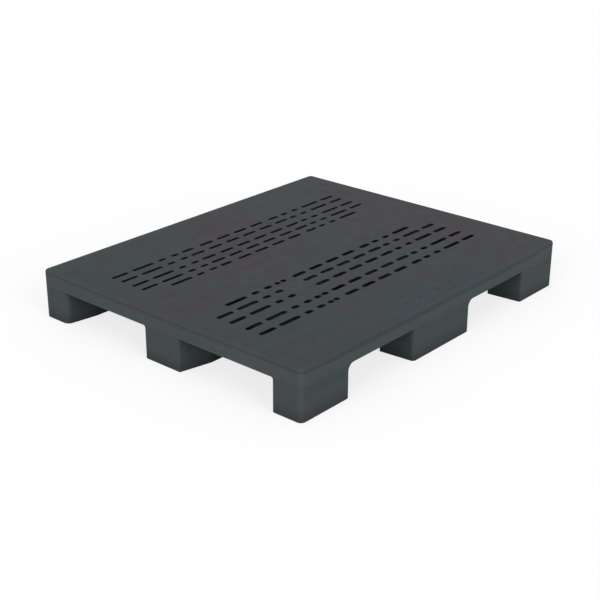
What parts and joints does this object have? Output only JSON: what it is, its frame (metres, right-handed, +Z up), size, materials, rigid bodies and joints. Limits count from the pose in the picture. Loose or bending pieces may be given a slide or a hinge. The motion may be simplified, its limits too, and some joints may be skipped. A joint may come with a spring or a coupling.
{
  "type": "plastic pallet",
  "caption": "Low plastic pallet with a closed slotted deck over a steel-stiffened tray, on separate block feet that leave fork ways along both directions.",
  "frame": {"origin": "on the floor under the middle of the pallet's footprint", "axes": "+X to the right along the 1000 mm side seen from the front, +Y from front to back along the 1200 mm side, +Z up"},
  "size_m": [1, 1.2, 0.15],
  "materials": {
    "deck_plastic": "recycled polyethylene, moulded, fine matte grain with faint flow mottling, rubbed edges",
    "tray_plastic": "recycled polyethylene, moulded, fine matte grain",
    "foot_plastic": "recycled polyethylene, moulded, matte, scuffed darker near the floor",
    "tube_steel": "galvanised steel tube, dull spangle",
    "screw_steel": "zinc-plated steel"
  },
  "bodies": {
    "root": {"base_tray": "tray_plastic", "deck_panel": "deck_plastic", "foot_back_left": "foot_plastic", "foot_back_middle": "foot_plastic", "foot_back_right": "foot_plastic", "foot_centre": "foot_plastic", "foot_front_left": "foot_plastic", "foot_front_middle": "foot_plastic", "foot_front_right": "foot_plastic", "foot_middle_left": "foot_plastic", "foot_middle_right": "foot_plastic", "screw_back_left_1": "screw_steel", "screw_back_left_2": "screw_steel", "screw_back_middle_1": "screw_steel", "screw_back_middle_2": "screw_steel", "screw_back_right_1": "screw_steel", "screw_back_right_2": "screw_steel", "screw_centre_1": "screw_steel", "screw_centre_2": "screw_steel", "screw_centre_3": "screw_steel", "screw_centre_4": "screw_steel", "screw_front_left_1": "screw_steel", "screw_front_left_2": "screw_steel", "screw_front_middle_1": "screw_steel", "screw_front_middle_2": "screw_steel", "screw_front_right_1": "screw_steel", "screw_front_right_2": "screw_steel", "screw_middle_left_1": "screw_steel", "screw_middle_left_2": "screw_steel", "screw_middle_left_3": "screw_steel", "screw_middle_left_4": "screw_steel", "screw_middle_right_1": "screw_steel", "screw_middle_right_2": "screw_steel", "screw_middle_right_3": "screw_steel", "screw_middle_right_4": "screw_steel", "steel_tube_left": "tube_steel", "steel_tube_middle": "tube_steel", "steel_tube_right": "tube_steel"}
  },
  "joints": []
}
